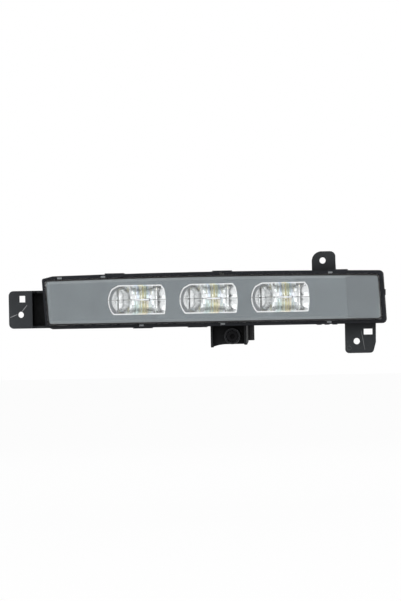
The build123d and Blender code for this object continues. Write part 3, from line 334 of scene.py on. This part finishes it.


# Painted reflections across the mirror's middle band, as tints from its left edge (0) to its right edge (1)
UPPER_REFLECTION_TINTS = (
    (0, (0.94, 0.95, 0.95)), (0.18, (0.95, 0.96, 0.96)),
    (0.30, (0.74, 0.82, 0.94)), (0.42, (0.92, 0.90, 0.76)),
    (0.55, (0.96, 0.94, 0.74)), (0.70, (0.70, 0.81, 0.86)),
    (0.82, (0.87, 0.88, 0.93)), (1, (0.95, 0.96, 0.96)),
)
LOWER_REFLECTION_TINTS = (
    (0, (0.94, 0.95, 0.95)), (0.20, (0.72, 0.83, 0.81)),
    (0.36, (0.88, 0.91, 0.86)), (0.55, (0.94, 0.90, 0.76)),
    (0.72, (0.88, 0.82, 0.70)), (0.82, (0.76, 0.83, 0.85)),
    (1, (0.95, 0.96, 0.96)),
)


def reflection_ramp(tree, along, stops):
    ramp = tree.nodes.new("ShaderNodeValToRGB")
    points = ramp.color_ramp.elements
    points[0].position, points[0].color = stops[0][0], (*stops[0][1], 1)
    points[1].position, points[1].color = stops[-1][0], (*stops[-1][1], 1)
    for place, colour in stops[1:-1]:
        points.new(place).color = (*colour, 1)
    tree.links.new(along, ramp.inputs["Fac"])
    return ramp.outputs["Color"]


def bright_mirror():
    """Metallised mirror with painted reflections as faint tints across its middle band, and painted shade in
    two dark lines along its creases.
    """
    material, tree, shader = new_material("reflector_bright")
    point = object_point(tree)
    axes = axes_of(tree, point)
    along = spread(tree, axes["X"], 0, 1, -BAND_X * MM, BAND_X * MM)
    upper = spread(tree, axes["Z"], 0, 1, -0.001, 0.001)
    # Painted reflections: tints across the band, upper and lower halves apart
    colour = blend_colours(
        tree, upper, reflection_ramp(tree, along, LOWER_REFLECTION_TINTS), reflection_ramp(tree, along, UPPER_REFLECTION_TINTS)
    )
    # Painted shade: two dark lines along the creases where the mirror's faces meet, at the right lobes' join
    # and at mid height
    for axis, place, half, shade_strength in (("X", LOBE_RIGHT * MM, 0.0003, 0.15), ("Z", 0, 0.0004, 0.45)):
        distance = calculate(tree, "ABSOLUTE", calculate(tree, "SUBTRACT", axes[axis], place))
        crease_shade = spread(tree, distance, shade_strength, 0, half * 0.5, half * 1.6)
        colour = blend_colours(tree, crease_shade, colour, (0.12, 0.13, 0.135))
    tree.links.new(colour, shader.inputs["Base Color"])
    shader.inputs["Metallic"].default_value = 0.92
    tree.links.new(spread(tree, noise(tree, point, 300), 0.09, 0.17), shader.inputs["Roughness"])
    bump = node(tree, "ShaderNodeBump", Strength=0.05, Distance=0.0004)
    tree.links.new(noise(tree, point, 160, 1), bump.inputs["Height"])
    tree.links.new(bump.outputs["Normal"], shader.inputs["Normal"])
    return material


FINISH = {
    "housing": moulded(
        "housing_plastic", (0.012, 0.0128, 0.014), (0.020, 0.0212, 0.023),
        rough=0.55, grain=2200, relief=0.2, edge=0.0005, specular=0.1, shade_reach=0.03,
    ),
    "upper_tab": moulded(
        "tab_plastic", (0.031, 0.034, 0.0368), (0.043, 0.0466, 0.0502),
        rough=0.6, grain=2600, relief=0.35, edge=0.0005, specular=0.16, shade_reach=0.03,
    ),
    "lens_rim": moulded(
        "rim_black", (0.011, 0.012, 0.0155), (0.018, 0.0195, 0.0245),
        rough=0.34, grain=1500, relief=0.08, edge=0.0004, specular=0.18,
    ),
    "bezel": satin_bezel(),
    "aim_knob": moulded(
        "knob_plastic", (0.0035, 0.0036, 0.004), (0.007, 0.0072, 0.008),
        rough=0.42, grain=2400, relief=0.2, edge=0.0003, specular=0.08, shade_reach=0.02,
    ),
    "aim_stud": moulded(
        "stud_plastic", (0.60, 0.60, 0.57), (0.70, 0.70, 0.67),
        rough=0.5, grain=2400, relief=0.2, edge=0.0002,
    ),
    "plug_socket": moulded(
        "plug_plastic", (0.012, 0.012, 0.013), (0.022, 0.022, 0.024),
        rough=0.45, grain=2600, relief=0.25, edge=0.0003, specular=0.3,
    ),
    "plug_seal": moulded(
        "seal_rubber", (0.02, 0.02, 0.02), (0.03, 0.03, 0.03),
        rough=0.8, grain=3000, relief=0.3, edge=0.0002,
    ),
    "lens_seal": moulded(
        "sealant", (0.02, 0.02, 0.02), (0.03, 0.03, 0.03),
        rough=0.8, grain=3000, relief=0.3, edge=0.0002,
    ),
    "vent_cap": moulded(
        "vent_rubber", (0.014, 0.014, 0.014), (0.024, 0.024, 0.024),
        rough=0.78, grain=2200, relief=0.4, edge=0.0005,
    ),
    "plug_pins": moulded(
        "contact_metal", (0.62, 0.50, 0.24), (0.72, 0.60, 0.32),
        rough=0.28, grain=900, relief=0.05, edge=0.0001, metallic=1.0,
    ),
    "carrier": moulded(
        "carrier_metal", (0.40, 0.41, 0.43), (0.50, 0.51, 0.53),
        rough=0.45, grain=1400, relief=0.3, edge=0.0003, metallic=1.0,
    ),
    "knob_keeper": moulded(
        "keeper_steel", (0.50, 0.51, 0.53), (0.60, 0.61, 0.63),
        rough=0.3, grain=900, relief=0.1, edge=0.0001, metallic=1.0,
    ),
    "driver_board": moulded(
        "circuit_board", (0.02, 0.12, 0.05), (0.03, 0.17, 0.07),
        rough=0.4, grain=700, relief=0.2, edge=0.0001,
    ),
    "driver_components": moulded(
        "component_body", (0.02, 0.02, 0.02), (0.04, 0.04, 0.04),
        rough=0.5, grain=900, relief=0.2, edge=0.0002,
    ),
    "lens": clear_lens(),
}
FINISH["lower_tab"] = FINISH["side_tab"] = FINISH["upper_tab"]
FINISH["pivot_pin_left"] = FINISH["pivot_pin_right"] = FINISH["knob_keeper"]
SINK = moulded(
    "sink_metal", (0.52, 0.53, 0.55), (0.64, 0.65, 0.67),
    rough=0.42, grain=1400, relief=0.35, edge=0.0003, metallic=1.0,
)
BOARD = moulded(
    "light_board", (0.86, 0.88, 0.90), (0.92, 0.93, 0.94),
    rough=0.24, grain=900, relief=0.05, edge=0.0001, metallic=1.0,
)
EMITTER = moulded(
    "emitter", (0.93, 0.90, 0.62), (0.97, 0.94, 0.70),
    rough=0.3, grain=1800, relief=0.05, edge=0.0001, metallic=0.7,
)
MIRROR = bright_mirror()
for i in (1, 2, 3):
    FINISH[f"heat_sink_{i}"] = SINK
    FINISH[f"led_board_{i}"] = BOARD
    FINISH[f"led_emitters_{i}"] = EMITTER
    FINISH[f"reflector_{i}"] = MIRROR
LEDGE = moulded(
    "ledge_satin", (0.27, 0.29, 0.305), (0.32, 0.338, 0.355),
    rough=0.4, grain=3200, relief=0.06, edge=0.0002, specular=0.3,
)
KNIT = moulded(
    "knit_line", (0.24, 0.245, 0.25), (0.34, 0.345, 0.35),
    rough=0.5, grain=2600, relief=0.2, edge=0.0001, specular=0.3,
)
MARK = moulded(
    "ejector_ring", (0.13, 0.133, 0.136), (0.19, 0.193, 0.197),
    rough=0.5, grain=2600, relief=0.2, edge=0.0001, specular=0.3,
)
# Painted highlight along the edge of the aim knob's collar
COLLAR_HIGHLIGHT = moulded(
    "collar_highlight", (0.034, 0.035, 0.037), (0.05, 0.051, 0.054),
    rough=0.5, grain=2600, relief=0.2, edge=0.0001, specular=0.2,
)
# Painted reflection on the clear snap lugs
LUG_REFLECTION = moulded(
    "lug_painted_reflection", (0.16, 0.175, 0.19), (0.34, 0.36, 0.38),
    rough=0.45, grain=900, relief=0.4, edge=0.0001, specular=0.5,
)


def dress(obj, material):
    obj.data.materials.clear()
    obj.data.materials.append(material)


for name, obj in nodes.items():
    dress(obj, FINISH[name])


def mesh_object(name, mesh, material, body, place=(0, 0, 0)):
    """Turn a finished mesh into an object that rides a body."""
    data = bpy.data.meshes.new(name)
    mesh.to_mesh(data)
    mesh.free()
    obj = bpy.data.objects.new(name, data)
    obj.location = place
    scene.collection.objects.link(obj)
    dress(obj, material)
    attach(obj, body)
    return obj


# Mirrors: the stepped strips of the solids with true curves, on the cell's outline
def arc(start, middle, end, count):
    """Points on the circle through three points, the last one left out."""
    (ax, az), (bx, bz), (cx, cz) = start, middle, end
    d = 2 * (ax * (bz - cz) + bx * (cz - az) + cx * (az - bz))
    aa, bb, cc = ax * ax + az * az, bx * bx + bz * bz, cx * cx + cz * cz
    ox = (aa * (bz - cz) + bb * (cz - az) + cc * (az - bz)) / d
    oz = (aa * (cx - bx) + bb * (ax - cx) + cc * (bx - ax)) / d
    radius = hypot(ax - ox, az - oz)
    first, last = atan2(az - oz, ax - ox), atan2(cz - oz, cx - ox)
    if last - first > pi:
        last -= 2 * pi
    elif first - last > pi:
        last += 2 * pi
    steps = [first + (last - first) * i / count for i in range(count)]
    return [(ox + radius * cos(t), oz + radius * sin(t)) for t in steps]


def cell_sides(grow):
    """Sides of the cell's outline about the light source, as half-planes moved outwards by grow."""
    left, top, right = (
        [(u * CELL_HALF, v * CELL_RISE) for u, v in shares] for shares in (LEFT_END, TOP_CORNERS, RIGHT_END)
    )
    corners = arc(*left, END_POINTS) + [left[-1]] + top + arc(*right, END_POINTS) + [right[-1]]
    sides = []
    for (x0, z0), (x1, z1) in zip(corners, corners[1:] + corners[:1]):
        length = hypot(x1 - x0, z1 - z0)
        nx, nz = -(z1 - z0) / length, (x1 - x0) / length
        sides.append((nx, nz, nx * (x0 - OPTIC_X) + nz * z0 + grow))
    return sides


def upright(sides, x):
    """Lowest and highest point of the outline at one place along it."""
    low = max((d - nx * x) / nz for nx, nz, d in sides if nz < -1e-6)
    high = min((d - nx * x) / nz for nx, nz, d in sides if nz > 1e-6)
    return low, high


def outline_end(sides, x):
    """Where the outline closes on the way from its middle to x, by halving."""
    near = 0.0
    for _ in range(40):
        middle = (near + x) / 2
        low, high = upright(sides, middle)
        if high - low > 0.02:
            near = middle
        else:
            x = middle
    return near


def outline_ring(sides, count):
    """Points round the outline, one on each ray from its middle."""
    ring = []
    for i in range(count):
        u, v = cos(2 * pi * i / count), sin(2 * pi * i / count)
        reach = min(d / (nx * u + nz * v) for nx, nz, d in sides if nx * u + nz * v > 1e-6)
        ring.append((reach * u, reach * v))
    return ring


def mirror_strips():
    """Strips of the mirror: two ends, vertex, sweep, step, focal length and fluting along and up."""
    strips = [
        (-FAR_LEFT, -LOBE_LEFT, OUTER_VERTEX, OUTER_FOCAL, 0, OUTER_FOCAL, OUTER_BOWL),
        (-LOBE_LEFT, -BAND_X, INNER_VERTEX, INNER_FOCAL, 0, INNER_FOCAL, INNER_BOWL),
        (BAND_X, LOBE_RIGHT, INNER_VERTEX, INNER_FOCAL, 0, INNER_FOCAL, INNER_BOWL),
        (LOBE_RIGHT, FAR_RIGHT, OUTER_VERTEX, OUTER_FOCAL, 0, OUTER_FOCAL, OUTER_BOWL),
    ]
    width = 2 * BAND_X / BAND_STRIPS
    for i in range(BAND_STRIPS):
        left = i * width - BAND_X
        step = abs(i - BAND_STRIPS // 2) * BAND_STEP
        strips.append((left, (i + 1) * width - BAND_X, BAND_VERTEX, BAND_SWEEP, step, BAND_FOCAL, BAND_FLUTE))
    return sorted(strips)


def mirror_depth(strip, x, z):
    """Depth of a strip's face at one place."""
    x0, x1, vertex, sweep, step, focal, flute = strip
    share = (x - x0) / (x1 - x0)
    front = vertex - step - ((1 - share) * x0 * x0 + share * x1 * x1) / (4 * sweep)
    rise = min(max((abs(z) - SLOT_Z) / (CELL_REACH - SLOT_Z), 0), 1)
    pillow = flute[0] * 4 * share * (1 - share) + flute[1] * 4 * rise * (1 - rise)
    return front - (abs(z) - BOARD_FACE) ** 2 / (4 * focal) - pillow


def mirror_column(mesh, sides, strip, x):
    """Points up one column of the mirror, from rim to rim."""
    low, high = upright(sides, x)
    slot = (min(max(low, -SLOT_Z), high), max(min(high, SLOT_Z), low))
    heights = [low + (slot[0] - low) * i / MIRROR_ROWS for i in range(MIRROR_ROWS + 1)]
    heights += [slot[1] + (high - slot[1]) * i / MIRROR_ROWS for i in range(MIRROR_ROWS + 1)]
    column = [mesh.verts.new((x, RIM_Y, low))]
    column += [mesh.verts.new((x, mirror_depth(strip, x, height), height)) for height in heights]
    column.append(mesh.verts.new((x, RIM_Y, high)))
    return column


def mirror_face(mesh):
    """Front of the mirror: its strips, the steps between them and the wall up to the rim."""
    sides = cell_sides(-CELL_RIM)
    left, right = outline_end(sides, -CELL_HALF - OPTIC_X), outline_end(sides, CELL_HALF - OPTIC_X)
    columns = []
    for strip in mirror_strips():
        x0, x1 = max(strip[0], left), min(strip[1], right)
        if x1 - x0 < 0.05:
            continue
        if x0 == left:
            shares = [1 - cos(pi / 2 * i / END_STEPS) for i in range(END_STEPS + 1)]
        elif x1 == right:
            shares = [sin(pi / 2 * i / END_STEPS) for i in range(END_STEPS + 1)]
        else:
            shares = [i / STRIP_STEPS for i in range(STRIP_STEPS + 1)]
        places = {x0 + (x1 - x0) * share for share in shares}
        places |= {edge for edge in (-SLOT_X, SLOT_X) if x0 < edge < x1}
        columns += [(x, mirror_column(mesh, sides, strip, x)) for x in sorted(places)]
    for (x0, first), (x1, second) in zip(columns, columns[1:]):
        for row in range(len(first) - 1):
            in_slot = row == MIRROR_ROWS + 1 and abs(x0 + x1) / 2 < SLOT_X
            if not in_slot:
                mesh.faces.new((first[row], second[row], second[row + 1], first[row + 1]))
    bmesh.ops.remove_doubles(mesh, verts=mesh.verts, dist=1e-4)
    bmesh.ops.recalc_face_normals(mesh, faces=mesh.faces)
    mesh.normal_update()
    if sum(face.normal.y * face.calc_area() for face in mesh.faces) > 0:
        bmesh.ops.reverse_faces(mesh, faces=mesh.faces)


def thicken(mesh, wall):
    """Give an open sheet a back face one wall behind its front, and close its edges."""
    mesh.normal_update()
    fronts = mesh.faces[:]
    edges = [edge for edge in mesh.edges if edge.is_boundary]
    behind = {vert: mesh.verts.new(vert.co - vert.normal * wall) for vert in mesh.verts[:]}
    for face in fronts:
        mesh.faces.new([behind[vert] for vert in reversed(face.verts)])
    for edge in edges:
        loop = edge.link_loops[0]
        first, second = loop.vert, loop.link_loop_next.vert
        mesh.faces.new((second, first, behind[first], behind[second]))


def mirror_rim(mesh):
    """Flat rim round the mirror, rooted in its wall."""
    front, back = RIM_Y - RIM_LIFT, RIM_Y + RIM_THICK
    rings = []
    for grow, depth in ((RIM_ROOT, front), (RIM_OVERLAP, front), (RIM_OVERLAP, back), (RIM_ROOT, back)):
        outline = outline_ring(cell_sides(grow), RING_POINTS)
        rings.append([mesh.verts.new((u, depth, v)) for u, v in outline])
    for inner, outer in zip(rings, rings[1:] + rings[:1]):
        for i in range(RING_POINTS):
            mesh.faces.new((inner[i], inner[i - 1], outer[i - 1], outer[i]))


def mirror_pegs(mesh):
    """Two pegs from the mirror's back to the heat sink."""
    for from_middle, z in PEGS:
        x = from_middle - OPTIC_X
        strip = next(s for s in mirror_strips() if s[0] <= x < s[1])
        start = mirror_depth(strip, x, z) + PEG_ROOT
        made = bmesh.ops.create_cube(mesh, size=1.0)["verts"]
        bmesh.ops.scale(mesh, vec=(PEG_SIDE, SINK_Y - start, PEG_SIDE), verts=made)
        bmesh.ops.translate(mesh, vec=(x, (SINK_Y + start) / 2, z), verts=made)


def mirror_piece(name, x, z):
    mesh = bmesh.new()
    mirror_face(mesh)
    thicken(mesh, MIRROR_WALL)
    mirror_rim(mesh)
    mirror_pegs(mesh)
    bmesh.ops.scale(mesh, vec=(MM, MM, MM), verts=mesh.verts)
    obj = mesh_object(name, mesh, MIRROR, "carrier_body", (x * MM, 0, z * MM))
    obj.data.shade_smooth()
    obj.data.set_sharp_from_angle(angle=SHARP_ANGLE)
    return obj


def crescent_piece(name, x, z):
    """Satin ledge along the rounded left end of a cell, inside the bright rim."""
    sides = cell_sides(-CELL_RIM)
    reach = CELL_RISE - CELL_RIM - LEDGE_END
    mesh = bmesh.new()
    rows = []
    for i in range(LEDGE_STEPS + 1):
        swing = 2 * i / LEDGE_STEPS - 1
        height = reach * swing
        edge = max((d - nz * height) / nx for nx, nz, d in sides if nx < -1e-6)
        inner = edge + LEDGE_WIDTH * (1 + LEDGE_FLARE * swing ** 2)
        front, back = LEDGE_Y, LEDGE_Y + LEDGE_DEPTH
        corners = ((edge, front), (inner, front), (inner, back), (edge, back))
        rows.append([mesh.verts.new((u * MM, y * MM, height * MM)) for u, y in corners])
    for a, b in zip(rows, rows[1:]):
        for j in range(4):
            mesh.faces.new((a[j], a[j - 1], b[j - 1], b[j]))
    mesh.faces.new(rows[0])
    mesh.faces.new(rows[-1])
    bmesh.ops.recalc_face_normals(mesh, faces=mesh.faces)
    return mesh_object(name, mesh, LEDGE, "carrier_body", (x * MM, 0, z * MM))


for i, cell_x in enumerate(CELL_X):
    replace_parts(mirror_piece(f"mirror_{i + 1}", cell_x, CELL_Z), f"reflector_{i + 1}")
    crescent_piece(f"ledge_{i + 1}", cell_x, CELL_Z)


# Fine marks of moulding on the tabs, and a painted highlight on the collar's edge
def streak(name, ends, y, slope, width, material):
    """Pale knit line that stands a hair off a tab's face; slope is the face's lean and where it starts."""
    (x0, z0), (x1, z1) = ends
    lean, origin = slope
    length = hypot(x1 - x0, z1 - z0)
    sx, sz = -(z1 - z0) / length, (x1 - x0) / length
    mesh = bmesh.new()
    rows = []
    for i in range(KNIT_STEPS + 1):
        share = i / KNIT_STEPS
        half = width / 2 * (0.35 + 1.3 * sin(pi * (0.1 + 0.8 * share)) / 2)
        px, pz = x0 + (x1 - x0) * share, z0 + (z1 - z0) * share
        row = []
        for side, lift in ((-1, KNIT_EDGE), (0, KNIT_RIDGE), (1, KNIT_EDGE)):
            qx, qz = px + sx * half * side, pz + sz * half * side
            row.append(mesh.verts.new((qx * MM, (y + lift - (qx - origin) * lean) * MM, qz * MM)))
        rows.append(row)
    for a, b in zip(rows, rows[1:]):
        for j in range(3):
            mesh.faces.new((a[j - 1], b[j - 1], b[j], a[j]))
    mesh.faces.new(rows[0])
    mesh.faces.new(rows[-1])
    bmesh.ops.recalc_face_normals(mesh, faces=mesh.faces)
    obj = mesh_object(name, mesh, material, "housing_body")


def ring_mark_or_highlight(name, place, radius, thickness, segments, material):
    """Thin raised ring, facing forward."""
    bpy.ops.mesh.primitive_torus_add(
        major_segments=segments, minor_segments=8, major_radius=radius * MM, minor_radius=thickness * MM,
        location=[value * MM for value in place], rotation=(pi / 2, 0, 0),
    )
    obj = bpy.context.object
    obj.name = name
    dress(obj, material)
    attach(obj, "housing_body")


for i, ends in enumerate(SIDE_STREAKS):
    streak(f"side_knit_{i + 1}", ends, SIDE_Y, (SIDE_SLOPE, SIDE_X), SIDE_KNIT, KNIT)
streak("lower_knit", LOWER_STREAK, LOW_Y, (0, 0), LOWER_KNIT, MARK)
ring_mark_or_highlight("ejector_mark", EJECTOR_PLACE, EJECTOR_RADIUS, EJECTOR_THICK, 48, MARK)
# Painted highlight: a pale ring along the collar's edge, where light would catch it
ring_mark_or_highlight("collar_highlight_ring", (KNOB_X, COLLAR_Y, KNOB_Z), COLLAR_RADIUS, COLLAR_THICK, 64, COLLAR_HIGHLIGHT)


# Pale pads on the lens's snap lugs: painted reflection of light on the clear lugs
def lug_reflection_pad(name, x, z):
    bpy.ops.mesh.primitive_cube_add(size=1, location=(x * MM, LUG_FACE_Y * MM, z * MM))
    obj = bpy.context.object
    obj.name = name
    obj.scale = [value * MM for value in LUG_FACE]
    bpy.ops.object.transform_apply(location=False, rotation=False, scale=True)
    dress(obj, LUG_REFLECTION)
    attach(obj, "housing_body")


lugs = [(x, LENS_EDGE_Z + LENS_CROWN * (1 - (x / LENS_HALF) ** 2) + LUG_FACE_OUT) for x in UPPER_LUGS]
lugs += [(x, -LENS_EDGE_Z - LUG_FACE_OUT) for x in LOWER_LUGS]
for i, (lug_x, lug_z) in enumerate(lugs):
    lug_reflection_pad(f"lug_reflection_pad_{i + 1}", lug_x, lug_z)


# Floor, backdrop and light
def background_rays(tree):
    """1 for rays from the camera, a shiny surface or the lens, and 0 for the light that falls on the part."""
    rays = tree.nodes.new("ShaderNodeLightPath")
    seen = calculate(tree, "MAXIMUM", rays.outputs["Is Camera Ray"], rays.outputs["Is Transmission Ray"])
    return calculate(tree, "MAXIMUM", seen, rays.outputs["Is Glossy Ray"])


def mix_shaders(tree, factor, first, second):
    made = tree.nodes.new("ShaderNodeMixShader")
    tree.links.new(factor, made.inputs["Fac"])
    tree.links.new(first, made.inputs[1])
    tree.links.new(second, made.inputs[2])
    return made.outputs["Shader"]


def floor_piece():
    """Pale floor below the part, which is white to the camera and clear from underneath."""
    reach, level = FLOOR_REACH, cad_low.z - FLOOR_DROP
    mesh = bpy.data.meshes.new("floor")
    corners = [(-reach, -reach, level), (reach, -reach, level), (reach, reach, level), (-reach, reach, level)]
    mesh.from_pydata(corners, [], [(0, 1, 2, 3)])
    obj = bpy.data.objects.new("floor", mesh)
    scene.collection.objects.link(obj)
    material, tree, shader = new_material("floor")
    shader.inputs["Base Color"].default_value = (0.9, 0.9, 0.9, 1)
    shader.inputs["Roughness"].default_value = 0.9
    obj.data.materials.append(material)
    glow = node(tree, "ShaderNodeEmission", Strength=1.0)
    whiteness = calculate(tree, "MULTIPLY", background_rays(tree), FLOOR_WHITENESS)
    top = mix_shaders(tree, whiteness, shader.outputs["BSDF"], glow.outputs["Emission"])
    underside = tree.nodes.new("ShaderNodeNewGeometry").outputs["Backfacing"]
    clear = tree.nodes.new("ShaderNodeBsdfTransparent").outputs["BSDF"]
    tree.links.new(mix_shaders(tree, underside, top, clear), tree.nodes["Material Output"].inputs["Surface"])


def studio_world():
    """White backdrop that lights the part at about half strength."""
    world = bpy.data.worlds.new("studio")
    scene.world = world
    world.use_nodes = True
    tree = world.node_tree
    backdrop = tree.nodes["Background"]
    backdrop.inputs["Color"].default_value = (1, 1, 1, 1)
    strength = spread(tree, background_rays(tree), BACKDROP_LIGHT, BACKDROP_SEEN, 0, 1)
    tree.links.new(strength, backdrop.inputs["Strength"])


def soft_lamp(name, place, target, size, power):
    data = bpy.data.lights.new(name, "AREA")
    data.shape = "RECTANGLE"
    data.size, data.size_y = size
    data.energy = power
    lamp = bpy.data.objects.new(name, data)
    lamp.location = place
    lamp.rotation_euler = (Vector(target) - Vector(place)).to_track_quat("-Z", "Y").to_euler()
    scene.collection.objects.link(lamp)


floor_piece()
studio_world()
for lamp in LAMPS:
    soft_lamp(*lamp)

# Camera
camera_data = bpy.data.cameras.new("camera")
camera_data.sensor_fit = "HORIZONTAL"
camera_data.sensor_width = SENSOR
camera_data.lens = SENSOR * DISTANCE * PIXELS_PER_MM / (PHOTO_SIZE[0] * MM)
camera = bpy.data.objects.new("camera", camera_data)
scene.collection.objects.link(camera)
scene.camera = camera
away = Vector((sin(AZIMUTH), -cos(AZIMUTH), 0))
turn = away.to_track_quat("Z", "Y").to_matrix() @ Matrix.Rotation(-ROLL, 3, "Z")
right, up = turn.col[0], turn.col[1]
shift_right = (ORIGIN_PIXEL[0] - PHOTO_SIZE[0] / 2) / PIXELS_PER_MM * MM
shift_up = (PHOTO_SIZE[1] / 2 - ORIGIN_PIXEL[1]) / PIXELS_PER_MM * MM
aim = -right * shift_right - up * shift_up
camera.matrix_world = Matrix.Translation(aim + away * DISTANCE) @ turn.to_4x4()

scene.view_settings.view_transform = "Standard"
